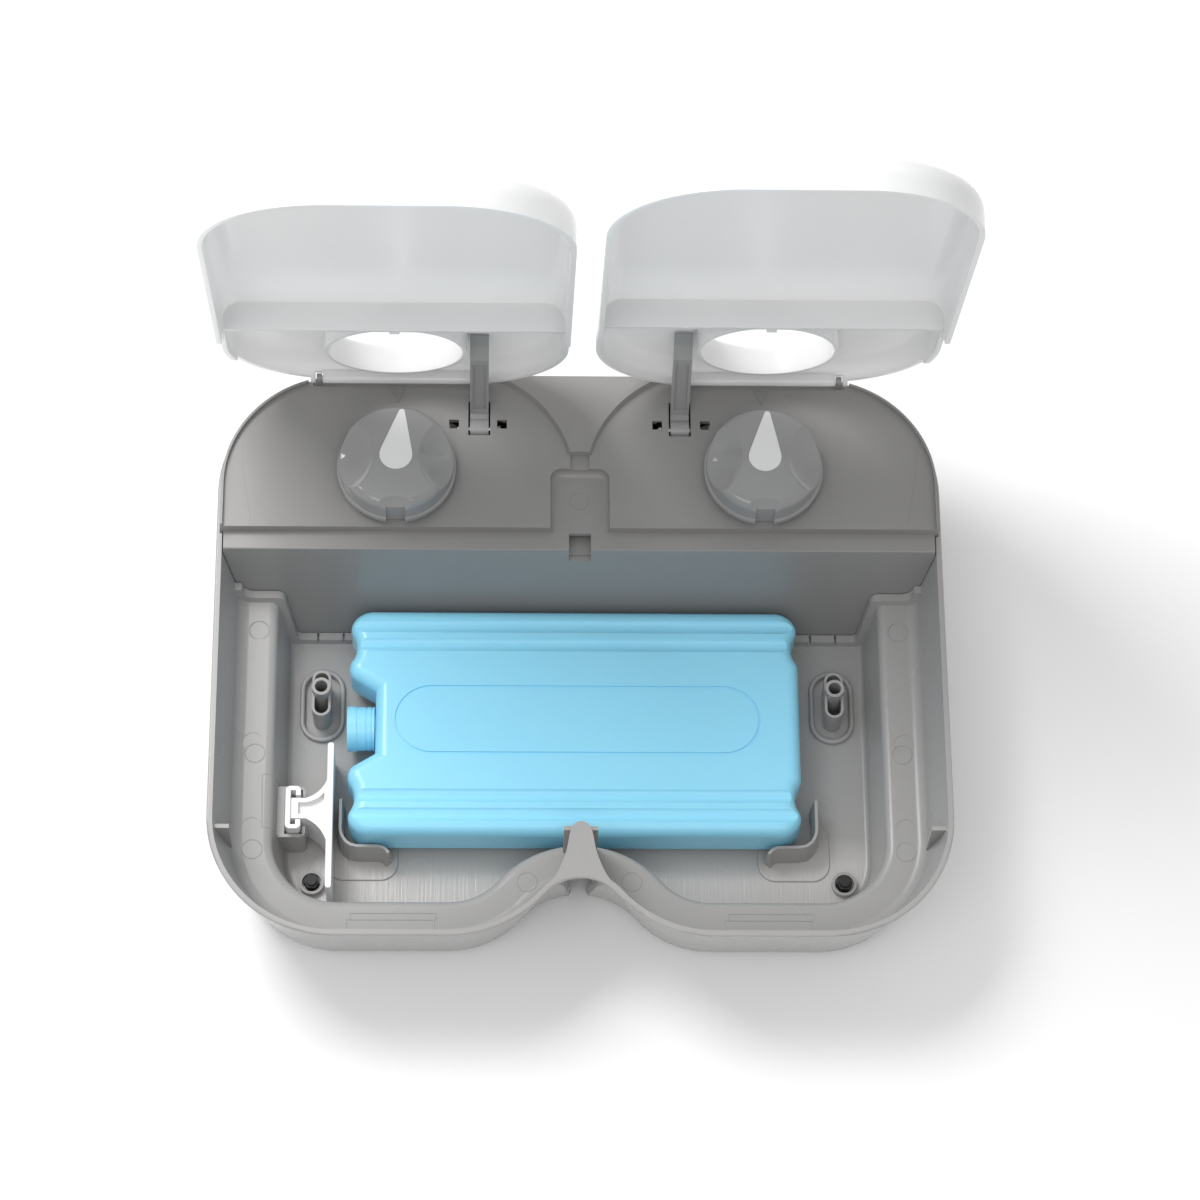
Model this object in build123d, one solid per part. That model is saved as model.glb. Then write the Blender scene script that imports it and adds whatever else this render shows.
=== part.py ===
"""Two meal pet feeder with its lids open, an ice pack and a clip in the bay.

Millimetres, Z up, the front towards -Y. Y is counted from the middle of the base.
MID_Y moves everything at export, so that the box of the whole feeder is centred.
The lids are drawn closed and turned open about their hinge line.
"""
import os
from math import asin, atan, cos, degrees, hypot, radians, sin, sqrt

from build123d import *

# base, at the rim
MID_Y = 2.35
HALF_W = 140.0
FRONT_Y = -115.0
BACK_Y = 115.1
CORNER_R = 48.0
LOBE_X = HALF_W - 69.2
NOTCH_R = 17.2
BOTTOM_Z = 2.0
FLOOR_Z = 4.2
LEDGE_Z = 30.0
RIM_Z = 56.0
OUT_D = 12.8
LEDGE_D = 23.0
WELL_D = 27.4
INNER_D = 8.5
RIM_D = 2.4

# timer cover
STRIP_Z = 57.6
DECK_Z = 61.6
LIP_Z = 63.6
VEE_Z = 64.2
STRIP_Y = 41.3
STEP_Y = 48.9
WALL_FOOT_Y = 28.2
COVER_D = 1.9
SKIN = 2.2

# lids, drawn closed
HINGE_Y = 111.8
HINGE_Z = 64.0
OPEN = {"left": 80.0, "right": 81.7}
LID_W = HALF_W - 8.5
LID_FRONT = -111.55
LID_BACK = 113.8
LID_R = 45.0
LID_TOP = 72.7
LID_FALL = 0.041
SKIRT_Z = 53.8
REAR_SKIRT_Z = 62.0
PART_Y = 39.6
BARREL = 29.2
COLLAR_R = 27.0
PIN_R = 1.0
EAR_R = 1.75

# knobs
KNOB_Y = 72.5
KNOB_TOP = 77.0
KNOB_TILT = {"left": -6.0, "right": -4.0}
DROP_R = 6.3
DROP_TIP = 1.1
DROP_LENGTH = 20.2
DROP_Z = 73.6

# lift arms
ARM_X = 39.0
ARM_W = 7.2
ARM_Y = 93.0
ARM_Z = 57.6
ARM_L = ARM_Y - PART_Y - 5.0
ARM_RATIO = 1.27

# ice pack and clip
PACK_X0 = 51.3 - HALF_W
PACK_X1 = HALF_W - 54.6
PACK_Y0 = -63.6
PACK_Y1 = 29.7
PACK_Z0 = 7.2
PACK_Z1 = 28.0
PACK_MID = -16.95

FEET = ((HALF_W - 37.7, -76.0), (HALF_W - 35.0, 87.0))
POST_X = HALF_W - 40.3
SCREWS = ((HALF_W - 28.0, 75.0), (18.0, 100.0))
SOCKET_X = 27.3 - HALF_W
FAR = 250.0
SIDE = {"left": -1, "right": 1}


def block(x0, x1, y0, y1, z0, z1):
    """A box between two corners."""
    size = Box(abs(x1 - x0), abs(y1 - y0), abs(z1 - z0))
    return Pos((x0 + x1) / 2, (y0 + y1) / 2, (z0 + z1) / 2) * size


def drum(x, y, z0, z1, r, r_top=None):
    """An upright cylinder, or a cone where a top radius is given."""
    h = z1 - z0
    at = Pos(x, y, (z0 + z1) / 2)
    if r_top is None:
        return at * Cylinder(r, h)
    return at * Cone(r, r_top, h)


def rod_x(x0, x1, y, z, r):
    """A cylinder along X."""
    return Pos((x0 + x1) / 2, y, z) * Rot(0, 90, 0) * Cylinder(r, abs(x1 - x0))


def stadium(x, y, width, length, z0, z1):
    """An upright solid with an oval outline, long in Y."""
    face = Pos(x, y, z0) * Rot(0, 0, 90) * SlotOverall(length, width)
    return extrude(face, amount=z1 - z0)


def side_prism(points, x0, x1):
    """A solid from a closed line of (y, z) points, drawn out along X."""
    line = Polyline(*[(x0, y, z) for y, z in points], close=True)
    return extrude(make_face(line.edges()), amount=x1 - x0, dir=(1, 0, 0))


def plan_prism(points, z0, z1):
    """A solid from a closed line of (x, y) points, drawn upwards."""
    line = Polyline(*[(x, y, z0) for x, y in points], close=True)
    return extrude(make_face(line.edges()), amount=z1 - z0, dir=(0, 0, 1))


def outline(d):
    """The two-lobe outline of the base, moved inwards by d."""
    cx = HALF_W - CORNER_R
    ix = 2 * LOBE_X - cx
    fy = FRONT_Y + CORNER_R
    by = BACK_Y - CORNER_R
    r = CORNER_R - d
    ny = fy - sqrt((CORNER_R + NOTCH_R) ** 2 - ix ** 2)
    reach = CORNER_R + NOTCH_R
    tx = ix - ix / reach * r
    ty = fy + (ny - fy) / reach * r

    def arc(p, q, c, radius):
        m = ((p[0] + q[0]) / 2 - c[0], (p[1] + q[1]) / 2 - c[1])
        k = radius / hypot(*m)
        return ThreePointArc(p, (c[0] + m[0] * k, c[1] + m[1] * k), q)

    with BuildLine() as bl:
        arc((-tx, ty), (tx, ty), (0, ny), NOTCH_R + d)
        arc((tx, ty), (ix, fy - r), (ix, fy), r)
        Line((ix, fy - r), (cx, fy - r))
        arc((cx, fy - r), (cx + r, fy), (cx, fy), r)
        Line((cx + r, fy), (cx + r, by))
        arc((cx + r, by), (cx, by + r), (cx, by), r)
        Line((cx, by + r), (-cx, by + r))
        arc((-cx, by + r), (-cx - r, by), (-cx, by), r)
        Line((-cx - r, by), (-cx - r, fy))
        arc((-cx - r, fy), (-cx, fy - r), (-cx, fy), r)
        Line((-cx, fy - r), (-ix, fy - r))
        arc((-ix, fy - r), (-tx, ty), (-ix, fy), r)
    return make_face(bl.edges())


def skin(d0, z0, d1, z1):
    """A drafted solid from the outline at d0 to the outline at d1."""
    face = Pos(0, 0, z0) * outline(d0)
    return extrude(face, amount=z1 - z0, taper=degrees(atan((d1 - d0) / (z1 - z0))))


def inner_d(z):
    """Offset of the inner wall above the ledge."""
    return RIM_D + (RIM_Z - z) * (INNER_D - RIM_D) / (RIM_Z - LEDGE_Z)


def outer_d(z):
    """Offset of the outer wall."""
    return OUT_D * (RIM_Z - z) / (RIM_Z - BOTTOM_Z)


def wall_y(z):
    """Y of the front of the slanted wall behind the bay."""
    return WALL_FOOT_Y + (z - 4.0) * (STRIP_Y - WALL_FOOT_Y) / (STRIP_Z - 4.0)


def bay(grow=0.0, soft=True):
    """The room of the bay: the well and the wider part above the ledge."""
    z = LEDGE_Z + grow
    upper = skin(inner_d(z) + grow, z, inner_d(66) + grow, 66)
    lower = skin(WELL_D + grow, FLOOR_Z + grow, LEDGE_D + grow, z + 0.01)
    if soft:
        low = [e for e in upper.edges() if abs(e.bounding_box().max.Z - z) < 0.01]
        upper = fillet(low, 4.5)
        low = [e for e in lower.edges() if abs(e.bounding_box().max.Z - FLOOR_Z - grow) < 0.01]
        lower = fillet(low, 2.0)
    both = upper + lower
    if soft:
        edge = []
        for e in both.edges():
            box = e.bounding_box()
            if abs(box.min.Z - z) < 0.02 and abs(box.max.Z - z) < 0.02:
                edge.append(e)
        both = fillet(edge, 3.4)
    return both


def wall_on(path, t0, t1, z0, z1):
    """A thin upright wall along a line of points, thicker at its foot."""
    def ring(t, z):
        one, two = [], []
        for i, (x, y) in enumerate(path):
            a = path[max(i - 1, 0)]
            b = path[min(i + 1, len(path) - 1)]
            k = hypot(b[0] - a[0], b[1] - a[1])
            nx, ny = (b[1] - a[1]) / k, -(b[0] - a[0]) / k
            one.append((x + nx * t / 2, y + ny * t / 2, z))
            two.append((x - nx * t / 2, y - ny * t / 2, z))
        return make_face(Polyline(*(one + two[::-1]), close=True).edges())
    return loft([ring(t0, z0), ring(t1, z1)], ruled=True)


def at_rear(solid, y):
    """The part of a solid behind y."""
    return solid & block(-FAR, FAR, y, FAR, -10, 90)


def at_front(solid, y):
    """The part of a solid in front of y."""
    return solid & block(-FAR, FAR, -FAR, y, -10, 90)


def base_shell():
    body = skin(OUT_D, BOTTOM_Z, 0, RIM_Z)
    low = [e for e in body.edges() if abs(e.bounding_box().max.Z - BOTTOM_Z) < 0.01]
    body = fillet(low, 2.5)
    rim = [e for e in body.edges() if abs(e.bounding_box().min.Z - RIM_Z) < 0.01]
    body = fillet(rim, 0.7)
    body -= bay()
    # folded ledge: the channel under it is open from below
    under = skin(outer_d(2) + 2.3, 1.9, outer_d(28) + 2.3, 28)
    under -= skin(WELL_D - 2.2, 1.8, LEDGE_D - 2.2, 28.2)
    body -= at_front(under, 38.0)
    side = HALF_W - 18.0
    for x, y, dx, dy in ((-side, -60, 9, 0.8), (side, -60, 9, 0.8), (-side, -10, 9, 0.8), (side, -10, 9, 0.8),
                         (-LOBE_X, -98, 0.8, 9), (LOBE_X, -98, 0.8, 9)):
        rib = block(x - dx, x + dx, y - dy, y + dy, 4, 28.5)
        body += rib & skin(outer_d(2) + 2, 2, outer_d(28.5) + 2, 28.5) - skin(WELL_D - 2, 1.8, LEDGE_D - 2, 28.6)
    # rear pan under the timers, and the seat of the cover
    body -= at_rear(skin(outer_d(FLOOR_Z) + 2.4, FLOOR_Z, outer_d(36) + 2.5, 36), 40.0)
    body -= at_rear(skin(1.45, 54.0, 1.45, 57.0), 48.5)

    # raised bead in front of the foot of the cover wall
    slab = side_prism([(wall_y(3) - 3.4, 3), (wall_y(3) - 0.4, 3),
                       (wall_y(39) - 0.4, 39), (wall_y(39) - 3.4, 39)], -FAR, FAR)
    bead = (slab & bay(-0.4)) - bay(2.6)
    for s in (-1, 1):
        for x in (POST_X - 7.7, POST_X + 2.3):
            bead -= block(s * x - 0.45, s * x + 0.45, 20, 34, FLOOR_Z + 0.4, 12)
    body += bead & block(-FAR, FAR, 20, 40, 3, 37.5)

    # column at the middle of the front, with its cross plate
    pts = [(2.6, -70.6), (3.6, -72.2), (5.0, -78.5), (8.0, -88.0), (12.0, -94.6)]
    with BuildLine() as bl:
        right = Spline(*pts)
        Line(pts[-1], (8.0, -97.0))
        Line((8.0, -97.0), (-8.0, -97.0))
        Line((-8.0, -97.0), (-pts[-1][0], pts[-1][1]))
        Spline(*[(-x, y) for x, y in reversed(pts)])
        ThreePointArc((-pts[0][0], pts[0][1]), (0, -69.6), pts[0])
    column = extrude(Pos(0, 0, LEDGE_Z - 1) * make_face(bl.edges()), amount=RIM_Z - LEDGE_Z + 1)
    column += block(-6.4, 6.4, -72.2, -70.6, LEDGE_Z - 3, 53.3)
    body += column & skin(outer_d(27) + 1.2, 27, 1.2, RIM_Z)
    # the column is hollow behind the notch, open to the front and below
    hollow = [(1.3, -74.0), (2.3, -75.5), (3.7, -80.0), (6.2, -88.0), (9.6, -95.0), (9.6, -99.0)]
    body -= plan_prism([(-x, y) for x, y in hollow] + hollow[::-1], 1.0, RIM_Z - 1.8)
    # rests at the sides, under the edges of the lids
    for s in (-1, 1):
        rest = block(s * (HALF_W - 8.6), s * (HALF_W - 1.5), -71.8, -70.2, LEDGE_Z - 1, 53.3)
        body += rest & skin(outer_d(29) + 1, 29, 1, RIM_Z)

    for s in (-1, 1):
        # screw post: low ring, oval boss and a higher tube
        x, y = s * POST_X, -2.0
        ring = stadium(x, y, 17.5, 30.6, FLOOR_Z - 0.5, FLOOR_Z + 1.9)
        ring -= stadium(x, y, 13.7, 26.8, FLOOR_Z - 0.9, FLOOR_Z + 3)
        body += fillet(ring.edges().group_by(Axis.Z)[-1], 0.75)
        body -= stadium(x, y, 13.7, 26.8, FLOOR_Z - 0.9, FLOOR_Z)
        body += stadium(x, y, 7.3, 19.0, FLOOR_Z - 1.0, 18.0)
        body += drum(x, -1.0, FLOOR_Z - 1.0, 22.5, 3.65)
        body -= stadium(x, y, 5.3, 17.0, FLOOR_Z, 18.5) - drum(x, -1.0, 3, 30, 3.65)
        body -= drum(x, -1.0, FLOOR_Z, 23, 2.45)
        # bosses of the front feet
        fx, fy = FEET[0]
        body += drum(s * fx, fy, FLOOR_Z - 0.5, 6.8, 4.8) - drum(s * fx, fy, FLOOR_Z, 7, 3.7)
        for x, y in FEET:
            body -= drum(s * x, y, 1, 5, 2.55)
        # corner retainer of the ice pack
        path = [(0, -46.0), (0, -57.5), (0.2, -59.5), (1.0, -61.5), (2.2, -63.3), (4.0, -64.6),
                (6.5, -65.2), (14.4, -65.3), (16.0, -65.6), (17.4, -66.4), (18.7, -68.0)]
        path = [(s * (HALF_W - 48.6 - px), py) for px, py in path]
        foot = wall_on(path, 3.4, 1.1, FLOOR_Z - 0.4, 18.0)
        pad = extrude(Pos(s * (HALF_W - 56.8), -62.0, FLOOR_Z - 0.5) * RectangleRounded(28.0, 25.0, 7.0), amount=1.1)
        body += fillet(pad.edges().group_by(Axis.Z)[-1], 0.55) & skin(WELL_D - 1, 3.5, WELL_D - 3, 20)
        body += foot & skin(WELL_D - 1, 3.5, WELL_D - 3, 20)
        # low ribs that carry the ice pack
        for rx in (28.0, 62.0):
            body += block(s * rx - 1, s * rx + 1, -48, 14, FLOOR_Z - 0.5, PACK_Z0 - 0.3)
        # posts for the screws of the cover
        for px, py in SCREWS:
            body += drum(s * px, py, FLOOR_Z - 0.5, 30.0, 3.8)
            body -= drum(s * px, py, 1, 7.0, 3.0)
            body -= drum(s * px, py, 6, 31, 1.6)
        # battery holder round its opening in the floor
        bx = s * LOBE_X
        body += block(bx - 31, bx + 31, KNOB_Y - 10.2, KNOB_Y + 10.2, FLOOR_Z - 0.5, 21.8)
        body -= block(bx - 29.4, bx + 29.4, KNOB_Y - 8.6, KNOB_Y + 8.6, 1, 20.4)
        # shallow round marks on the ledge
        for mx, my in ((15.9, 19.2), (15.1, -27.6), (15.6, -62.4)):
            body -= drum(s * (HALF_W - mx), my, LEDGE_Z - 0.18, LEDGE_Z + 0.5, 3.9)

    # socket of the clip, on the inner side of the ledge
    x = SOCKET_X
    sock = block(x - 5.8, x + 8.1, -63.0, -42.3, 3.8, 21.0)
    sock = fillet(sock.edges().filter_by(Axis.Z), 2.2)
    sock -= block(x + 0.2, x + 6.9, -61.7, -43.6, 3.0, 22.0)
    sock -= block(x + 6.0, x + 9.0, -58.6, -46.7, 3.0, 22.0)
    body += sock & (skin(WELL_D - 1, 3.7, LEDGE_D + 1, 25))
    return body


def timer_cover():
    outer = at_rear(skin(COVER_D, 54.0, COVER_D, VEE_Z), STEP_Y)
    under = at_rear(skin(COVER_D + SKIN, 53.0, COVER_D + SKIN, DECK_Z - SKIN - 0.2), STEP_Y + 2.0)
    body = outer & block(-FAR, FAR, STEP_Y, FAR, 54.0, DECK_Z)
    # thin raised edge round the sides and the rear corners
    lip = outer & block(-FAR, FAR, STEP_Y, FAR, DECK_Z - 1, LIP_Z)
    lip -= skin(COVER_D + 0.9, 50, COVER_D + 0.9, 70)
    for s in (-1, 1):
        body += lip & block(s * (HALF_W - 34.5), s * FAR, STEP_Y, FAR, DECK_Z - 1, LIP_Z)
    # raised V between the lids
    vee = outer & block(-44, 44, 79.0, 150, DECK_Z - 1, VEE_Z)
    for s in (-1, 1):
        vee -= drum(s * 51.6, 67.5, DECK_Z - 2, DECK_Z, 48.7)
        vee -= drum(s * 51.6, 67.5, DECK_Z, VEE_Z + 0.01, 48.7, 49.5)
    vee -= block(-50, 50, 60, 80.3, DECK_Z - 2, 70)
    body += vee
    body -= under
    # strip in front of the deck and the slanted wall behind the bay
    edge = HALF_W - 3.0
    strip = block(-edge, edge, STRIP_Y + 1, STEP_Y + 2.0, STRIP_Z - SKIN, STRIP_Z)
    wall = side_prism([(wall_y(2), 2), (wall_y(STRIP_Z), STRIP_Z), (wall_y(STRIP_Z) + SKIN + 1, STRIP_Z),
                       (wall_y(STRIP_Z) + SKIN + 1, STRIP_Z - SKIN),
                       (wall_y(STRIP_Z - SKIN) + SKIN, STRIP_Z - SKIN), (wall_y(2) + SKIN, 2)], -edge, edge)
    front = fillet((strip + wall).edges().filter_by(Axis.X).sort_by(Axis.Z)[-2:], 0.6)
    body += front & bay(0.35)
    # pocket in the middle, open to the front, with its own skin
    well = extrude(Pos(0, 60.0, STRIP_Z - SKIN) * RectangleRounded(25.4, 31.6, 5.5), amount=5.0)
    hole = extrude(Pos(0, 58.4, STRIP_Z) * RectangleRounded(22.8, 31.6, 4.4), amount=9.0)
    hole = fillet(hole.edges().group_by(Axis.Z)[0], 2.6)
    body += well & block(-20, 20, STEP_Y, 80, 50, DECK_Z)
    body -= hole & block(-20, 20, 40, 80, 50, 70)
    body -= block(-3.6, 3.6, 73, 80.3, DECK_Z - 1.2, DECK_Z + 1)
    body -= block(-4.2, 4.2, STRIP_Y - 4, 48.3, STRIP_Z - 6.5, STRIP_Z + 1)
    body += block(-5.4, 5.4, STRIP_Y + 0.6, 49.6, STRIP_Z - 7.6, STRIP_Z - 5.4)
    for x in (-4.9, 4.9):
        body += block(x - 0.6, x + 0.6, STRIP_Y + 0.6, 49.6, STRIP_Z - 7.6, STRIP_Z - 0.5)

    for s in (-1, 1):
        x = s * LOBE_X
        # trough and ears of the lid hinge
        u = BARREL + 3.6
        body -= block(x - u, x + u, 109.4, 120, 60.6, 70)
        body += block(x - u, x + u, 106.5, 113.2, 58.4, 60.6)
        for e in (-1, 1):
            ex = x + e * (BARREL + 1.4)
            ear = block(ex - 1.0, ex + 1.0, HINGE_Y - EAR_R, HINGE_Y + 1.4, 59.5, HINGE_Z)
            ear += rod_x(ex - 1.0, ex + 1.0, HINGE_Y, HINGE_Z, EAR_R)
            body += ear - rod_x(ex - 2, ex + 2, HINGE_Y, HINGE_Z, PIN_R + 0.07)
        # slot of the lift arm, its brackets, and the two square holes
        ax = s * ARM_X
        body -= block(ax - 4.25, ax + 4.25, 88.5, 103.0, 50, 70)
        for b in (ax - 4.9, ax + 4.9):
            body += block(b - 0.6, b + 0.6, 88.6, 97.4, 53.0, DECK_Z - 1)
        body -= rod_x(ax - 8, ax + 8, ARM_Y, ARM_Z, 1.27)
        sx = s * (ARM_X - 7.2)
        body -= block(sx - 1.8, sx + 1.8, 78.0, 97.0, 50, 60.2)
        for hx in (s * (ARM_X - 8.8), s * (ARM_X + 9.8)):
            body -= block(hx - 1.9, hx + 1.9, 91.4, 95.2, 50, 70)
        # mark of the knob, opening of the spindle
        tri = plan_prism([(x - 3.0, 109.2), (x + 3.0, 109.2), (x, 102.4)], DECK_Z - 0.1, DECK_Z + 0.5)
        tri -= plan_prism([(x - 1.9, 108.6), (x + 1.9, 108.6), (x, 104.2)], DECK_Z, DECK_Z + 1)
        body += tri
        body -= drum(x, KNOB_Y, 50, 70, 3.5)
        for px in (-18, 18):
            for py in (-16, 20):
                body += drum(x + px, KNOB_Y + py, 56.2, DECK_Z - 1, 2.6)
        for px, py in SCREWS:
            body += drum(s * px, py, 30.0, DECK_Z - 1, 3.2)
            body -= drum(s * px, py, 29, 50, 1.4)
    return body


def lid_block(x, d, z0, z1):
    """The closed lid as a full solid, moved inwards by d, with its falling top."""
    w = LID_W - 2 * d
    h = LID_BACK - LID_FRONT - 2 * d
    y = (LID_BACK + LID_FRONT) / 2
    face = Pos(x, y, z0) * RectangleRounded(w, h, LID_R - d)
    full = extrude(face, amount=z1 - z0, taper=0.6)
    bend = 30.0
    mid = -9.0
    drop = LID_FALL * (mid - bend + 130.0)
    with BuildLine() as bl:
        a = (x - 80, mid + bend, z1)
        b = (x - 80, mid - bend, z1 - LID_FALL * bend)
        c = (x - 80, -130.0, z1 - LID_FALL * bend - drop)
        Line((x - 80, 130, z1), a)
        ThreePointArc(a, (x - 80, mid, z1 - LID_FALL * bend * 0.25), b)
        Line(b, c)
        Line(c, (x - 80, -130.0, z0 - 1))
        Line((x - 80, -130.0, z0 - 1), (x - 80, 130, z0 - 1))
        Line((x - 80, 130, z0 - 1), (x - 80, 130, z1))
    return full & extrude(make_face(bl.edges()), amount=160, dir=(1, 0, 0))


def top_edges(solid, z):
    """The edges round the top of a lid solid."""
    out = []
    for e in solid.edges():
        box = e.bounding_box()
        if box.min.Z > z and box.size.X < 125:
            out.append(e)
    return out


def lid_moulding(name):
    """A closed lid, with the collar that the knob comes through."""
    s = SIDE[name]
    x = s * LOBE_X
    outer = lid_block(x, 0, SKIRT_Z, LID_TOP)
    outer = fillet(top_edges(outer, 64), 8.6)
    inner = lid_block(x, 2.0, SKIRT_Z - 2, LID_TOP - 2.0)
    inner = fillet(top_edges(inner, 62), 6.8)
    room = lid_block(x, 1.0, SKIRT_Z, LID_TOP - 1.0)
    body = outer - inner
    body += room & block(x - 70, x + 70, PART_Y, PART_Y + 2.0, 59.7, LID_TOP - 1.0)
    # the side skirts rise in two steps, over the strip and over the deck
    body -= block(x - 70, x + 70, PART_Y + 0.01, 120, SKIRT_Z - 3, STRIP_Z + 0.6)
    body -= block(x - 63, x + 63, PART_Y - 1, 60, STRIP_Z, 59.7)
    body -= block(x - 70, x + 70, STEP_Y - 1.0, 120, SKIRT_Z - 3, REAR_SKIRT_Z)
    # collar and hole of the knob
    body += drum(x, KNOB_Y, 62.0, LID_TOP - 1.0, COLLAR_R)
    body -= drum(x, KNOB_Y, 61.9, LID_TOP + 0.01, 25.4, 24.2)
    hole = [e for e in body.edges() if e.geom_type == GeomType.CIRCLE
            and abs(e.bounding_box().min.Z - LID_TOP) < 0.05 and 40 < e.bounding_box().size.X < 55]
    if hole:
        body = fillet(hole, 0.8)
    # catch at the front of the collar
    hook = side_prism([(46.6, 72.0), (46.6, 62.6), (47.4, 61.95), (50.9, 61.95), (51.1, 62.5), (49.4, 63.7),
                       (48.6, 72.0)], x - 1.9, x + 1.9)
    body += hook
    # hinge strip along the rear edge, with its two stub pins
    bar = rod_x(x - BARREL, x + BARREL, HINGE_Y, HINGE_Z, 1.95)
    bar += block(x - BARREL, x + BARREL, HINGE_Y - 1.95, HINGE_Y + 1.9, HINGE_Z, 68.5)
    bar -= block(x - BARREL - 1, x + BARREL + 1, HINGE_Y - 6, HINGE_Y + 0.2, 66.6, 72)
    for e in (-1, 1):
        u0 = x + e * BARREL
        u1 = x + e * (BARREL + 2.8)
        room = EAR_R + 0.4
        body -= block(u0, u1, HINGE_Y - room, 120, 58, HINGE_Z + room)
    for e in (-1, 1):
        bar += rod_x(x + e * (BARREL - 1), x + e * (BARREL + 2.4), HINGE_Y, HINGE_Z, PIN_R)
    body -= block(x - BARREL, x + BARREL, HINGE_Y, 120, 58, 63.2) - rod_x(x - 40, x + 40, HINGE_Y, HINGE_Z, 2.05)
    body += bar
    # the rear corner clears the raised edge of the cover
    body -= block(s * (HALF_W - 35.3), s * FAR, 84.5, FAR, SKIRT_Z, LIP_Z + 0.5)
    return body


def lid(name):
    """The lid round its collar."""
    return lid_moulding(name) - drum(SIDE[name] * LOBE_X, KNOB_Y, 50, 80, COLLAR_R + 0.08)


def lid_collar(name):
    """The collar of the knob with its catch, one with the lid on the real moulding."""
    return lid_moulding(name) & drum(SIDE[name] * LOBE_X, KNOB_Y, 50, 80, COLLAR_R)


def drop_face(grow=0.0):
    """Outline of the pointer: a large round end drawn out to a small round tip."""
    r = DROP_R + grow
    tip = DROP_TIP + grow
    d = DROP_LENGTH - DROP_TIP
    a = asin((r - tip) / d)
    px, py = r * cos(a), r * sin(a)
    qx, qy = tip * cos(a), d + tip * sin(a)
    with BuildLine() as bl:
        Line((px, py), (qx, qy))
        ThreePointArc((qx, qy), (0, d + tip), (-qx, qy))
        Line((-qx, qy), (-px, py))
        ThreePointArc((-px, py), (0, -r), (px, py))
    return make_face(bl.edges())


def knob_round(x):
    """The knob before its dishes: a flange and a drum under a domed top with a soft edge."""
    with BuildLine() as bl:
        Polyline((0, 0, 62.0), (21.0, 0, 62.0), (21.0, 0, 64.0), (23.0, 0, 64.0), (23.0, 0, 66.0),
                 (22.2, 0, 66.6), (21.6, 0, 80.0), (0, 0, 80.0), close=True)
    body = Pos(x, KNOB_Y, 0) * revolve(make_face(bl.edges()), Axis.Z)
    body = body & Pos(x, KNOB_Y, KNOB_TOP - 160.0) * Sphere(160.0)
    top = [e for e in body.edges() if e.geom_type == GeomType.CIRCLE and e.bounding_box().min.Z > 74]
    return fillet(top, 3.6)


def knob(name):
    x = SIDE[name] * LOBE_X
    body = knob_round(x)
    # finger dishes at both sides, and a scoop above the notch
    for s in (-1, 1):
        body -= Pos(x + s * 30.5, KNOB_Y, 97.6) * Sphere(30.1)
    body -= Pos(x, KNOB_Y - 28.6, 84.0) * Sphere(14.0)
    soft = [e for e in body.edges() if e.bounding_box().min.Z > 66.8]
    body = fillet(soft, 0.6)
    body -= block(x - 3.65, x + 3.65, KNOB_Y - 25, KNOB_Y - 20.6, 60, 80)
    body -= drum(x, KNOB_Y, 61, 65.5, 18.5) - drum(x, KNOB_Y, 61, 65.6, 6.0)
    body -= drum(x, KNOB_Y, 61, 72.0, 3.02)
    pocket = Pos(x, KNOB_Y, DROP_Z) * Rot(0, 0, KNOB_TILT[name]) * drop_face(0.08)
    return body - extrude(pocket, amount=6)


def pointer(name):
    x = SIDE[name] * LOBE_X
    face = Pos(x, KNOB_Y, DROP_Z) * Rot(0, 0, KNOB_TILT[name]) * drop_face()
    return extrude(face, amount=6) & knob_round(x)


def spindle(name):
    x = SIDE[name] * LOBE_X
    body = drum(x, KNOB_Y, 46.6, 72.0, 3.0)
    return body - block(x + 2.3, x + 4, KNOB_Y - 4, KNOB_Y + 4, 60, 73)


def movement(name):
    x = SIDE[name] * LOBE_X
    body = block(x - 24, x + 24, KNOB_Y - 26, KNOB_Y + 26, 24.0, 52.0)
    body = fillet(body.edges().filter_by(Axis.Z), 4.0)
    for px in (-18, 18):
        for py in (-16, 20):
            body += drum(x + px, KNOB_Y + py, 51, 56.2, 3.2)
    body += drum(x, KNOB_Y, 51, 55.5, 7.0)
    return body - drum(x, KNOB_Y, 46.2, 60, 3.06)


def arm_profile():
    """Side view of the folded lift arm: l forwards from the pivot, w upwards."""
    top = 8.3
    return [(-3.2, 2.6), (-3.2, 6.6), (-2.2, 7.4), (35.0, 7.4), (40.5, top), (ARM_L - 0.5, top),
            (ARM_L, top - 0.5), (ARM_L, 7.1), (42.0, 6.9), (36.5, 4.4), (4.2, 4.4), (3.4, 2.4)]


def lift_arm(name):
    x = SIDE[name] * ARM_X
    pts = [(ARM_Y - l, ARM_Z + w) for l, w in arm_profile()]
    body = side_prism(pts, x - ARM_W / 2, x + ARM_W / 2)
    body += rod_x(x - ARM_W / 2, x + ARM_W / 2, ARM_Y, ARM_Z, 4.1)
    # the shallow channel of the web, with a flange at each side
    body -= block(x - 2.5, x + 2.5, ARM_Y - 34.0, ARM_Y - 7.0, ARM_Z + 3.0, ARM_Z + 5.4)
    return body - rod_x(x - 8, x + 8, ARM_Y, ARM_Z, 1.32)


def arm_pin(name):
    x = SIDE[name] * ARM_X
    return rod_x(x - 8.4, x + 8.4, ARM_Y, ARM_Z, 1.25)


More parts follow.
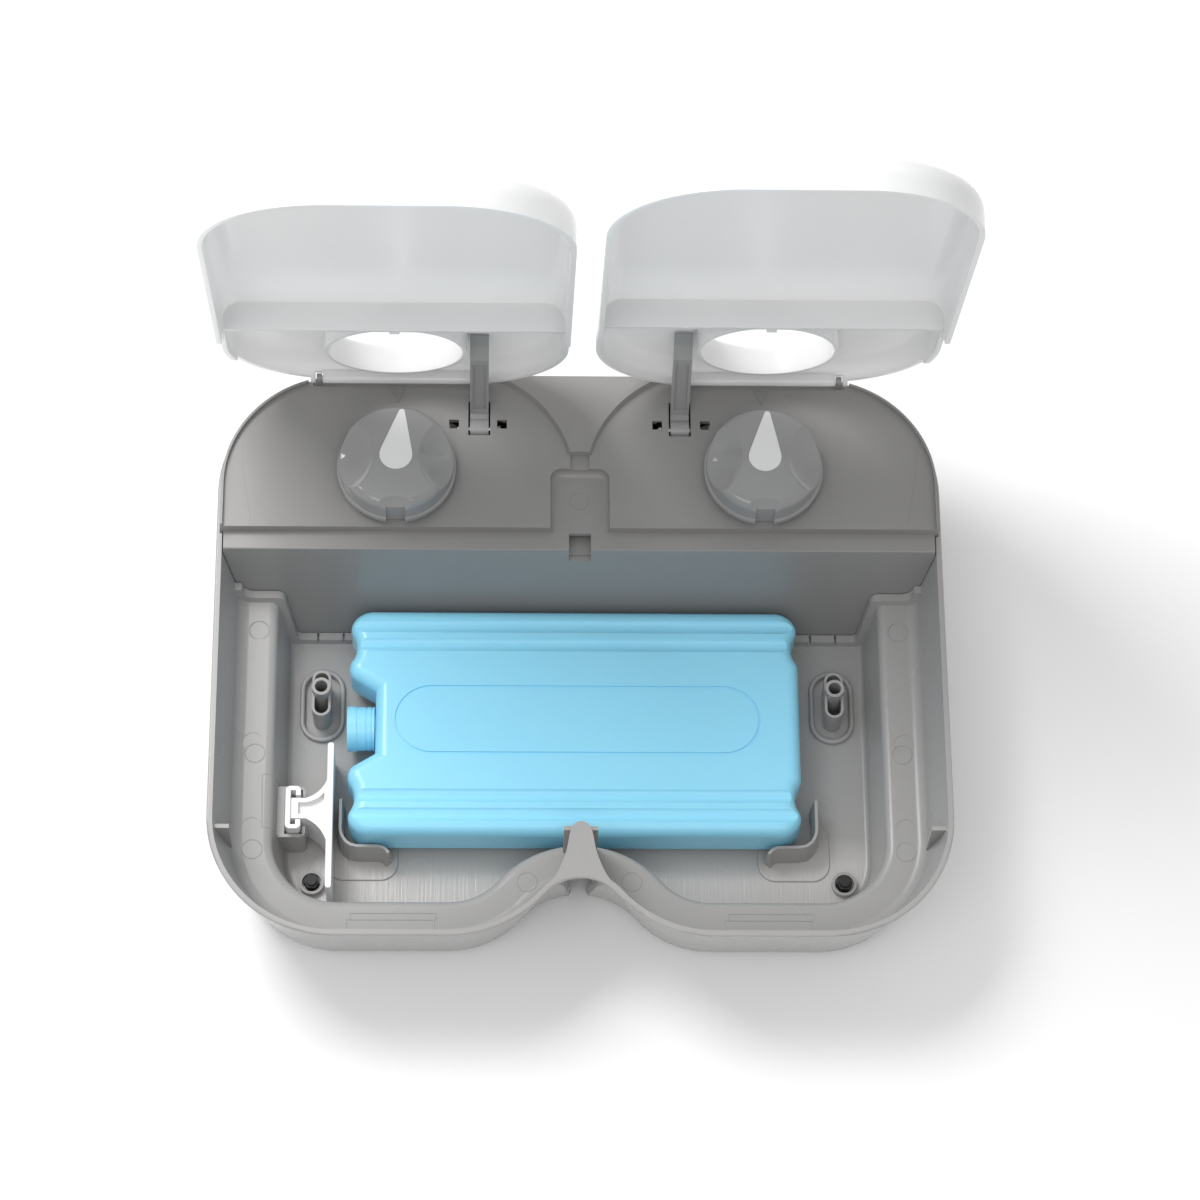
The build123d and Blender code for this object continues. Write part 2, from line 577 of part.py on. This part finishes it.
def arm_spring(name):
    s = SIDE[name]
    x = s * (ARM_X - 7.0)
    body = None
    for k in range(4):
        ring = Pos(x + s * (k * 0.62 - 0.9), ARM_Y, ARM_Z) * Rot(0, 90, 0) * Torus(1.62, 0.34)
        body = ring if body is None else body + ring
    body += rod_x(x - 1.1, x + 1.1, ARM_Y + 1.62, ARM_Z, 0.3)
    leg = Pos(x, ARM_Y - 7.5, ARM_Z + 1.3) * Rot(90, 0, 0) * Cylinder(0.34, 13.0)
    return body + leg


def battery(name):
    x = SIDE[name] * LOBE_X
    body = rod_x(x - 24.6, x + 24.0, KNOB_Y, 12.2, 7.1)
    body += rod_x(x + 23.5, x + 25.4, KNOB_Y, 12.2, 2.7)
    return body


def battery_spring(name):
    x = SIDE[name] * LOBE_X - 29.2
    body = block(x, x + 0.4, KNOB_Y - 6, KNOB_Y + 6, 6.2, 18.2)
    for k in range(5):
        r = 4.6 - 0.45 * k
        body += Pos(x + 0.6 + k * 0.85, KNOB_Y, 12.2) * Rot(0, 90, 0) * Torus(r, 0.4)
    body += block(x + 0.2, x + 4.6, KNOB_Y - 0.3, KNOB_Y + 0.3, 12.2 + 2.4, 12.2 + 5.0)
    return body


def battery_plate(name):
    x = SIDE[name] * LOBE_X + 29.4
    body = block(x - 0.4, x - 0.0, KNOB_Y - 6, KNOB_Y + 6, 6.2, 18.2)
    return body + rod_x(x - 4.0, x - 0.2, KNOB_Y, 12.2, 2.2)


def battery_door(name):
    x = SIDE[name] * LOBE_X
    body = block(x - 29.0, x + 29.0, KNOB_Y - 8.2, KNOB_Y + 8.2, BOTTOM_Z, FLOOR_Z - 0.3)
    for k in range(4):
        gx = x + 18.0 + k * 2.4
        body -= block(gx - 0.5, gx + 0.5, KNOB_Y - 5, KNOB_Y + 5, 1, BOTTOM_Z + 0.6)
    for gy in (-4.5, 4.5):
        body += block(x - 14, x + 14, KNOB_Y + gy - 0.6, KNOB_Y + gy + 0.6, FLOOR_Z - 0.4, FLOOR_Z + 0.3)
    return body


def foot(name):
    side, row = name.split("_")
    x, y = FEET[0 if row == "front" else 1]
    x = SIDE[side] * x
    pad = drum(x, y, 0, BOTTOM_Z, 7.0)
    low = [e for e in pad.edges() if abs(e.bounding_box().max.Z) < 0.01]
    body = fillet(low, 0.8)
    body += drum(x, y, BOTTOM_Z - 0.2, FLOOR_Z + 0.2, 2.5)
    head = extrude(Pos(x, y, FLOOR_Z + 0.05) * RegularPolygon(3.1, 6), amount=4.0)
    body += head
    body += drum(x, y, FLOOR_Z + 3.9, FLOOR_Z + 5.0, 2.0)
    return body


def cover_screws():
    body = None
    for s in (-1, 1):
        for px, py in SCREWS:
            one = drum(s * px, py, 4.4, 7.0, 2.8) + drum(s * px, py, 6.9, 44.0, 1.38)
            one -= block(s * px - 0.4, s * px + 0.4, py - 1.8, py + 1.8, 4, 5.4)
            one -= block(s * px - 1.8, s * px + 1.8, py - 0.4, py + 0.4, 4, 5.4)
            body = one if body is None else body + one
    return body


def ice_pack():
    m = PACK_MID
    x0, x1 = PACK_X0, PACK_X1
    with BuildSketch() as sk:
        with Locations(((x0 + x1) / 2, m)):
            RectangleRounded(x1 - x0, PACK_Y1 - PACK_Y0, 9.0)
        with Locations(*[(x + out * 7.4, m + k * 31.3) for x, out in ((x0, -1), (x1, 1)) for k in (-1, 1)]):
            Circle(10.0, mode=Mode.SUBTRACT)
        with BuildLine():
            Polyline((x0 - 3, m + 21.2), (x0 + 10.3, m + 13.0), (x0 + 10.3, m - 13.0), (x0 - 3, m - 21.2),
                     close=True)
        make_face(mode=Mode.SUBTRACT)
    # round the outer corners of the outline
    face = offset(offset(sk.sketch.face(), -5.2, kind=Kind.INTERSECTION), 5.2, kind=Kind.ARC).face()
    body = extrude(Pos(0, 0, PACK_Z0) * face, amount=PACK_Z1 - PACK_Z0)
    rims = [e for e in body.edges() if e.bounding_box().size.Z < 0.01]
    body = fillet(rims, 4.8)
    # grooves between the ridges
    for y in (m + 31.4, m + 39.2, m - 31.4, m - 39.2):
        for z in (PACK_Z1 + 2.4, PACK_Z0 - 2.4):
            body -= rod_x(-100, 100, y, z, 3.6)
    ring = extrude(Pos(-0.4, m, PACK_Z1 - 0.5) * SlotOverall(141.0, 28.5), amount=2)
    ring -= extrude(Pos(-0.4, m, PACK_Z1 - 1.0) * SlotOverall(139.2, 26.7), amount=3)
    body -= ring
    body += rod_x(x0 + 10.8, x0 + 2.2, m, (PACK_Z0 + PACK_Z1) / 2, 6.9)
    return body


def ice_pack_cap():
    z = (PACK_Z0 + PACK_Z1) / 2
    body = rod_x(PACK_X0 - 0.6, PACK_X0 + 9.9, PACK_MID, z, 8.5)
    body += rod_x(PACK_X0 - 0.6, PACK_X0 + 3.0, PACK_MID, z, 8.8)
    for x in (6.6, 8.6):
        body -= rod_x(PACK_X0 + x, PACK_X0 + x + 0.5, PACK_MID, z, 12) - rod_x(-100, 0, PACK_MID, z, 8.2)
    return body - rod_x(PACK_X0 + 1.6, PACK_X0 + 12, PACK_MID, z, 7.25)


def pack_clip():
    z0 = FLOOR_Z + 1.0
    top = 26.0
    x = SOCKET_X
    # upright plate that holds the end of the pack
    body = block(x + 16.3, x + 18.6, -85.2, -26.0, z0, top)
    body = fillet(body.edges().filter_by(Axis.Z), 0.9)
    # hooked head in the socket
    head = block(x + 0.6, x + 6.4, -61.3, -44.0, z0 + 0.6, top)
    head = fillet(head.edges().filter_by(Axis.Z), 1.8)
    head -= block(x + 2.5, x + 4.5, -59.6, -45.7, 0, top + 1)
    head -= block(x + 4.0, x + 7.0, -57.6, -47.7, 0, top + 1)
    # web that flares from the head to the plate, with a raised edge
    neck = extrude(Pos(0, 0, z0) * flared(x + 1.5, x + 16.9, 8.3, 0.0), amount=top - 1.0 - z0)
    neck -= extrude(Pos(0, 0, top - 3.2) * flared(x + 5.4, x + 15.3, 4.7, 6.4), amount=5.0)
    return body + head + neck


def flared(x0, x1, width, less):
    """Plan of the clip's web: a straight neck that widens to the plate in two arcs."""
    m = -52.65
    h = width / 2
    end = h + 10.6 - less
    with BuildLine() as bl:
        Line((x0, m - h), (x0, m + h))
        Line((x0, m + h), (x1 - 8.6, m + h))
        ThreePointArc((x1 - 8.6, m + h), (x1 - 3.0, m + h + (end - h) * 0.34), (x1, m + end))
        Line((x1, m + end), (x1, m - end - 1.6))
        ThreePointArc((x1, m - end - 1.6), (x1 - 3.0, m - h - (end - h + 1.6) * 0.36), (x1 - 8.6, m - h))
        Line((x1 - 8.6, m - h), (x0, m - h))
    return make_face(bl.edges())


def opened(shape, name):
    """Turn a closed lid, or what rides with it, to the angle of the photo."""
    turn = Pos(0, HINGE_Y, HINGE_Z) * Rot(-OPEN[name], 0, 0) * Pos(0, -HINGE_Y, -HINGE_Z)
    return turn * shape


def raised(shape, name):
    """Turn a folded lift arm to where it holds its lid open."""
    turn = Pos(0, ARM_Y, ARM_Z) * Rot(-OPEN[name] * ARM_RATIO, 0, 0) * Pos(0, -ARM_Y, -ARM_Z)
    return turn * shape


def all_nodes():
    nodes = {"base_shell": base_shell(), "timer_cover": timer_cover(), "cover_screws": cover_screws(),
             "ice_pack": ice_pack(), "ice_pack_cap": ice_pack_cap(), "pack_clip": pack_clip()}
    for name in SIDE:
        nodes["lid_" + name] = opened(lid(name), name)
        nodes["lid_collar_" + name] = opened(lid_collar(name), name)
        nodes["knob_" + name] = knob(name)
        nodes["pointer_" + name] = pointer(name)
        nodes["knob_spindle_" + name] = spindle(name)
        nodes["timer_movement_" + name] = movement(name)
        nodes["lift_arm_" + name] = raised(lift_arm(name), name)
        nodes["arm_pin_" + name] = arm_pin(name)
        nodes["arm_spring_" + name] = arm_spring(name)
        nodes["battery_" + name] = battery(name)
        nodes["battery_spring_" + name] = battery_spring(name)
        nodes["battery_plate_" + name] = battery_plate(name)
        nodes["battery_door_" + name] = battery_door(name)
        for row in ("front", "rear"):
            nodes["foot_" + name + "_" + row] = foot(name + "_" + row)
    return nodes


os.makedirs("parts", exist_ok=True)
for node, shape in all_nodes().items():
    export_step(Pos(0, -MID_Y, 0) * shape, "parts/" + node + ".step")
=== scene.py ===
"""Looks of the two meal pet feeder: each moulding's finish, the marks that the moulds leave, and the studio."""

import math

import bmesh
import bpy
from mathutils import Matrix, Vector
from mathutils.bvhtree import BVHTree


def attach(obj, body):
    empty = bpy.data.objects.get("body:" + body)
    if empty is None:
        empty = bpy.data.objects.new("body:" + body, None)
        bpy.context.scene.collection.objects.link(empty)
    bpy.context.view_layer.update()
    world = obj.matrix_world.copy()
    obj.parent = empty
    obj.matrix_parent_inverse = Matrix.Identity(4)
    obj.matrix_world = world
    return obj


MM = 0.001

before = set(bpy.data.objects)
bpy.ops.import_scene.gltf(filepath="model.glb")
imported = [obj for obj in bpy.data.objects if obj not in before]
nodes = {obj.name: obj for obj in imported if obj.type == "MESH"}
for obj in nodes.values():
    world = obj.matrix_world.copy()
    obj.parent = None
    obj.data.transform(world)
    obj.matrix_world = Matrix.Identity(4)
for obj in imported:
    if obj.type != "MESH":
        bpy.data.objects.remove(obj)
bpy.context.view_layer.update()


# Camera: a long lens high above the front edge, turned a little to the right and rolled.

LENS_WIDTHS = 3.3016
SENSOR = 36.0
CAMERA_AT = Vector((-35.1, -607.55, 1436.5)) * MM
LOOK_DOWN = math.radians(65.55)
LOOK_RIGHT = math.radians(3.90)
ROLL = math.radians(3.85)


def place_camera():
    ahead = Vector(
        (
            math.sin(LOOK_RIGHT) * math.cos(LOOK_DOWN),
            math.cos(LOOK_RIGHT) * math.cos(LOOK_DOWN),
            -math.sin(LOOK_DOWN),
        )
    )
    level_right = Vector((math.cos(LOOK_RIGHT), -math.sin(LOOK_RIGHT), 0))
    level_up = level_right.cross(ahead)
    right = math.cos(ROLL) * level_right + math.sin(ROLL) * level_up
    up = -math.sin(ROLL) * level_right + math.cos(ROLL) * level_up
    lens = bpy.data.cameras.new("camera")
    lens.sensor_width = SENSOR
    lens.lens = LENS_WIDTHS * SENSOR
    lens.clip_start = 0.05
    lens.clip_end = 20
    camera = bpy.data.objects.new("camera", lens)
    turn = Matrix((right, up, -ahead)).transposed().to_4x4()
    camera.matrix_world = Matrix.Translation(CAMERA_AT) @ turn
    bpy.context.scene.collection.objects.link(camera)
    bpy.context.scene.camera = camera


# Materials: places and sizes in metres

NOISE_LOW, NOISE_HIGH = 0.3, 0.7
CLOUD_SCALE = 9
GLOSS_SCALE = 20
GRAIN_SCALE = 500
GRAIN_DEPTH = 0.00002

FLOOR_LOW, FLOOR_HIGH = 0.0040, 0.0050
FRONT_EDGE = -0.070
# Painted highlight: a pale tint added to the well floor in front of the ice pack, standing in for brighter
# light falling there.
PAINTED_SHEEN_TINT = (0.16, 0.15, 0.14, 1)


class Finish:
    """A material with its shader and a short way to add and join nodes."""

    def __init__(self, name, colour, roughness):
        self.material = bpy.data.materials.new(name)
        self.material.use_nodes = True
        self.tree = self.material.node_tree
        self.shader = self.tree.nodes["Principled BSDF"]
        self.set("Base Color", (*colour, 1))
        self.set("Roughness", roughness)
        self.place = self.add("ShaderNodeTexCoord").outputs["Object"]

    def add(self, kind, **values):
        node = self.tree.nodes.new(kind)
        for name, value in values.items():
            setattr(node, name, value)
        return node

    def join(self, source, target):
        self.tree.links.new(source, target)

    def set(self, socket, value):
        self.shader.inputs[socket].default_value = value

    def noise(self, scale, detail=2.0, roughness=0.5, stretch=(1, 1, 1)):
        mapping = self.add("ShaderNodeMapping")
        mapping.inputs["Scale"].default_value = stretch
        self.join(self.place, mapping.inputs["Vector"])
        noise = self.add("ShaderNodeTexNoise")
        noise.inputs["Scale"].default_value = scale
        noise.inputs["Detail"].default_value = detail
        noise.inputs["Roughness"].default_value = roughness
        self.join(mapping.outputs["Vector"], noise.inputs["Vector"])
        return noise.outputs["Fac"]

    def between(self, factor, low, high):
        """A noise's factor, spread smoothly over low to high."""
        spread = self.add("ShaderNodeMapRange", interpolation_type="SMOOTHSTEP")
        spread.inputs["From Min"].default_value = NOISE_LOW
        spread.inputs["From Max"].default_value = NOISE_HIGH
        spread.inputs["To Min"].default_value = low
        spread.inputs["To Max"].default_value = high
        self.join(factor, spread.inputs["Value"])
        return spread.outputs["Result"]

    def tint(self, factor, dark, light):
        mix = self.add("ShaderNodeMix", data_type="RGBA")
        mix.inputs["A"].default_value = (*dark, 1)
        mix.inputs["B"].default_value = (*light, 1)
        self.join(factor, mix.inputs["Factor"])
        self.join(mix.outputs["Result"], self.shader.inputs["Base Color"])

    def bump(self, height, strength, distance):
        bump = self.add("ShaderNodeBump")
        bump.inputs["Strength"].default_value = strength
        bump.inputs["Distance"].default_value = distance
        self.join(height, bump.inputs["Height"])
        if self.shader.inputs["Normal"].is_linked:
            before = self.shader.inputs["Normal"].links[0].from_socket
            self.join(before, bump.inputs["Normal"])
        self.join(bump.outputs["Normal"], self.shader.inputs["Normal"])


def moulded(name, colour, roughness, spread=0.06, grain=0.02):
    """Injection moulded plastic: soft clouds in the tone, a slight grain, uneven gloss."""
    finish = Finish(name, colour, roughness)
    clouds = finish.between(finish.noise(CLOUD_SCALE, 1), 0, 1)
    dark = tuple(c * (1 - spread) for c in colour)
    light = tuple(min(1.0, c * (1 + spread)) for c in colour)
    finish.tint(clouds, dark, light)
    finish.join(
        finish.between(finish.noise(GLOSS_SCALE, 1), roughness * 0.96, roughness * 1.05),
        finish.shader.inputs["Roughness"],
    )
    if grain:
        finish.bump(finish.noise(GRAIN_SCALE, 1), grain * 2, GRAIN_DEPTH)
    return finish


def ramp(finish, source, start, end, before, after):
    """before where the source is under start, after where it is over end, even in between."""
    step = finish.add("ShaderNodeMapRange", clamp=True)
    step.inputs["From Min"].default_value = start
    step.inputs["From Max"].default_value = end
    step.inputs["To Min"].default_value = before
    step.inputs["To Max"].default_value = after
    finish.join(source, step.inputs["Value"])
    return step.outputs["Result"]


def product(finish, first, second):
    times = finish.add("ShaderNodeMath", operation="MULTIPLY")
    finish.join(first, times.inputs[0])
    finish.join(second, times.inputs[1])
    return times.outputs["Value"]


def machined_lines_and_painted_sheen(finish, stretch, strength):
    """Fine machining lines on the level floor of the well, in front of the ice pack, and a paler tone there
    that is a painted highlight.
    """
    at = finish.add("ShaderNodeSeparateXYZ")
    finish.join(finish.place, at.inputs["Vector"])
    facing = finish.add("ShaderNodeSeparateXYZ")
    finish.join(finish.add("ShaderNodeNewGeometry").outputs["Normal"], facing.inputs["Vector"])
    height = at.outputs["Z"]
    zone = ramp(finish, height, FLOOR_HIGH, FLOOR_HIGH + 0.0008, 1, 0)
    zone = product(finish, zone, ramp(finish, height, FLOOR_LOW - 0.0004, FLOOR_LOW, 0, 1))
    zone = product(finish, zone, ramp(finish, at.outputs["Y"], FRONT_EDGE, FRONT_EDGE + 0.012, 1, 0))
    zone = product(finish, zone, ramp(finish, facing.outputs["Z"], 0.90, 0.98, 0, 1))
    lines = finish.between(finish.noise(60, 3, 0.6, stretch), 0, 1)
    finish.bump(product(finish, lines, zone), strength, 0.0001)
    # Painted highlight: adds a pale tint to the floor zone's base colour so that the front of the well floor
    # looks more brightly lit.
    painted_sheen = finish.add("ShaderNodeMix", data_type="RGBA", blend_type="ADD")
    finish.join(zone, painted_sheen.inputs["Factor"])
    plain_tone = finish.shader.inputs["Base Color"].links[0].from_socket
    finish.join(plain_tone, painted_sheen.inputs["A"])
    painted_sheen.inputs["B"].default_value = PAINTED_SHEEN_TINT
    finish.join(painted_sheen.outputs["Result"], finish.shader.inputs["Base Color"])


def shell_grey():
    finish = moulded("shell_grey", (0.355, 0.35, 0.345), 0.27, spread=0.03)
    machined_lines_and_painted_sheen(finish, (18, 0.6, 1), 0.5)
    return finish.material


def cover_grey():
    return moulded("cover_grey", (0.275, 0.27, 0.265), 0.25, spread=0.03).material


def lid_white():
    finish = moulded("lid_white", (0.81, 0.81, 0.81), 0.20, spread=0.01)
    finish.set("Subsurface Weight", 0.5)
    finish.set("Subsurface Scale", 1.0)
    finish.set("Subsurface Radius", (0.008, 0.008, 0.008))
    return finish.material


def knob_grey():
    finish = moulded("knob_grey", (0.29, 0.29, 0.29), 0.12, spread=0.02, grain=0.0)
    finish.set("Coat Weight", 0.5)
    finish.set("Coat Roughness", 0.05)
    return finish.material


def pointer_white():
    return moulded("pointer_white", (0.80, 0.80, 0.80), 0.35, spread=0.01).material


def arm_grey():
    return moulded("arm_grey", (0.31, 0.31, 0.31), 0.28).material


def pack_blue():
    finish = moulded("pack_blue", (0.31, 0.74, 0.98), 0.30, spread=0.008)
    finish.set("Subsurface Weight", 0.3)
    finish.set("Subsurface Radius", (0.002, 0.003, 0.005))
    return finish.material


def clip_white():
    return moulded("clip_white", (0.84, 0.84, 0.84), 0.42, spread=0.02).material


def foot_rubber():
    return moulded("foot_rubber", (0.012, 0.012, 0.012), 0.55).material


def plated_steel():
    finish = Finish("plated_steel", (0.60, 0.60, 0.58), 0.28)
    finish.set("Metallic", 1.0)
    finish.join(
        finish.between(finish.noise(300, 3, stretch=(1, 1, 0.1)), 0.2, 0.42),
        finish.shader.inputs["Roughness"],
    )
    finish.bump(finish.noise(900, 3), 0.1, 0.00003)
    return finish.material


def timer_case():
    return moulded("timer_case", (0.62, 0.61, 0.56), 0.45).material


def spindle_white():
    return moulded("spindle_white", (0.70, 0.69, 0.65), 0.4).material


def battery_skin():
    return moulded("battery_skin", (0.02, 0.02, 0.022), 0.25).material


def dress(names, material):
    for name in names:
        mesh = nodes[name].data
        mesh.materials.clear()
        mesh.materials.append(material)


def both(*stems):
    return [f"{stem}_{side}" for stem in stems for side in ("left", "right")]


def dress_all():
    dress(["base_shell", *both("battery_door")], shell_grey())
    dress(["timer_cover"], cover_grey())
    dress(both("lid", "lid_collar"), lid_white())
    dress(both("knob"), knob_grey())
    dress(both("pointer"), pointer_white())
    dress(both("lift_arm"), arm_grey())
    dress(["ice_pack", "ice_pack_cap"], pack_blue())
    dress(["pack_clip"], clip_white())
    feet = [f"foot_{side}_{end}" for side in ("left", "right") for end in ("front", "rear")]
    dress(feet, foot_rubber())
    metal = both("arm_pin", "arm_spring", "battery_spring", "battery_plate")
    dress(["cover_screws", *metal], plated_steel())
    dress(both("timer_movement"), timer_case())
    dress(both("knob_spindle"), spindle_white())
    dress(both("battery"), battery_skin())


# Marks that the moulds leave, as raised hairlines round ejector pins and inserts: in millimetres

DOWN = (0, 0, -1)
ABOVE = 300
PIN_RADIUS = 3.8
PIN_MARKS = (
    (-123.7, 16.9), (-124.0, -34.5), (-124.0, -73.7), (124.4, 17.4), (124.0, -34.2), (124.0, -74.0),
    (19.7, -86.5), (-20.0, -86.6),
)
INSERTS = ((-87.8, -54.1), (54.4, 88.2))
INSERT_BACK, INSERT_MID, INSERT_FRONT = -99.3, -101.9, -109.8
SOCKET_MARK = ((-115.0, -43.1), (-120.9, -43.1), (-120.5, -64.8), (-114.8, -64.8))
COVER_PIN = (-0.3, 59.7, 3.6)
FLOW_BEND = ((131.0, 82.0), (130.3, 73.0), (129.0, 63.0), (127.3, 54.0), (126.4, 48.2))


def surface_of(name):
    made = bmesh.new()
    made.from_mesh(nodes[name].data)
    tree = BVHTree.FromBMesh(made)
    made.free()
    return tree


def seen_from(tree, points, towards):
    """The points, moved along a direction until they lie on a surface."""
    found = []
    for point in points:
        hit = tree.ray_cast(Vector(point) * MM, Vector(towards))[0]
        if hit is not None:
            found.append(hit)
    return found


def hairline(lines, closed, name, body, material, radius=0.13):
    """Fine raised lines along rows of points, as one mesh."""
    curve = bpy.data.curves.new(name, "CURVE")
    curve.dimensions = "3D"
    curve.bevel_depth = radius * MM
    curve.bevel_resolution = 1
    for points in lines:
        if len(points) < 2:
            continue
        spline = curve.splines.new("POLY")
        spline.points.add(len(points) - 1)
        for knot, point in zip(spline.points, points):
            knot.co = (*point, 1)
        spline.use_cyclic_u = closed
    drawn = bpy.data.objects.new(name + "_path", curve)
    mesh = bpy.data.meshes.new_from_object(drawn)
    bpy.data.objects.remove(drawn)
    bpy.data.curves.remove(curve)
    mesh.name = name
    mesh.materials.clear()
    mesh.materials.append(material)
    marks = bpy.data.objects.new(name, mesh)
    bpy.context.scene.collection.objects.link(marks)
    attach(marks, body)


def circle(x, y, r, steps=40):
    turns = [math.tau * k / steps for k in range(steps)]
    return [(x + r * math.cos(t), y + r * math.sin(t), ABOVE) for t in turns]


def path(corners, step=0.8):
    """Points along straight runs, high above the feeder."""
    points = []
    for (x0, y0), (x1, y1) in zip(corners, corners[1:]):
        count = max(2, int(math.hypot(x1 - x0, y1 - y0) / step))
        for k in range(count):
            points.append((x0 + (x1 - x0) * k / count, y0 + (y1 - y0) * k / count, ABOVE))
    return points + [(*corners[-1], ABOVE)]


def insert_runs(x0, x1):
    """The outline of a mould insert on the front ledge: a narrow bar behind a wide one."""
    inset = x0 + 1.5
    end = x1 - 0.8
    back = [(inset, INSERT_MID), (inset, INSERT_BACK), (x1, INSERT_BACK), (x1, INSERT_MID)]
    front = [(x0, INSERT_FRONT), (x0, INSERT_MID), (end, INSERT_MID), (end, INSERT_FRONT), (x0, INSERT_FRONT)]
    return [path(back), path(front)]


def shell_marks(material):
    below = surface_of("base_shell")
    rings = [seen_from(below, circle(x, y, PIN_RADIUS), DOWN) for x, y in PIN_MARKS]
    runs = [run for x0, x1 in INSERTS for run in insert_runs(x0, x1)]
    runs.append(path(SOCKET_MARK))
    lines = [seen_from(below, run, DOWN) for run in runs]
    hairline(rings, True, "shell_pin_marks", "base", material, 0.2)
    hairline(lines, False, "shell_insert_marks", "base", material, 0.2)


def cover_marks(material):
    below = surface_of("timer_cover")
    ring = seen_from(below, circle(*COVER_PIN), DOWN)
    hairline([ring], True, "cover_pin_mark", "base", material)
    bends = []
    for side in (-1, 1):
        bend = [(side * x, y) for x, y in FLOW_BEND]
        bends.append(seen_from(below, path(bend), DOWN))
    hairline(bends, False, "cover_flow_lines", "base", material, 0.08)


# Studio


def sweep():
    """A pale sheet that runs flat under the feeder."""
    mesh = bpy.data.meshes.new("floor")
    made = bmesh.new()
    bmesh.ops.create_grid(made, x_segments=1, y_segments=1, size=4)
    made.to_mesh(mesh)
    made.free()
    floor = bpy.data.objects.new("floor", mesh)
    bpy.context.scene.collection.objects.link(floor)
    paper = Finish("studio_paper", (0.96, 0.96, 0.96), 0.9)
    paper.set("Specular IOR Level", 0.1)
    mesh.materials.append(paper.material)


def softbox(name, at, aim, width, height, watts):
    light = bpy.data.lights.new(name, "AREA")
    light.shape = "RECTANGLE"
    light.size = width
    light.size_y = height
    light.energy = watts
    lamp = bpy.data.objects.new(name, light)
    at, aim = Vector(at), Vector(aim)
    turn = (aim - at).to_track_quat("-Z", "Y").to_matrix().to_4x4()
    lamp.matrix_world = Matrix.Translation(at) @ turn
    bpy.context.scene.collection.objects.link(lamp)


def studio():
    sweep()
    softbox("key", (-0.50, 0.42, 1.00), (-0.05, -0.02, 0.03), 0.5, 0.5, 9)
    softbox("fill", (-0.3, -1.0, 2.0), (0, 0, 0.1), 1.8, 1.0, 10)
    world = bpy.data.worlds.new("studio_air")
    world.use_nodes = True
    sky = world.node_tree.nodes["Background"]
    sky.inputs["Color"].default_value = (1, 1, 1, 1)
    sky.inputs["Strength"].default_value = 0.60
    bpy.context.scene.world = world
    bpy.context.scene.view_settings.view_transform = "Standard"


place_camera()
dress_all()
shell_marks(bpy.data.materials["shell_grey"])
cover_marks(bpy.data.materials["cover_grey"])
studio()
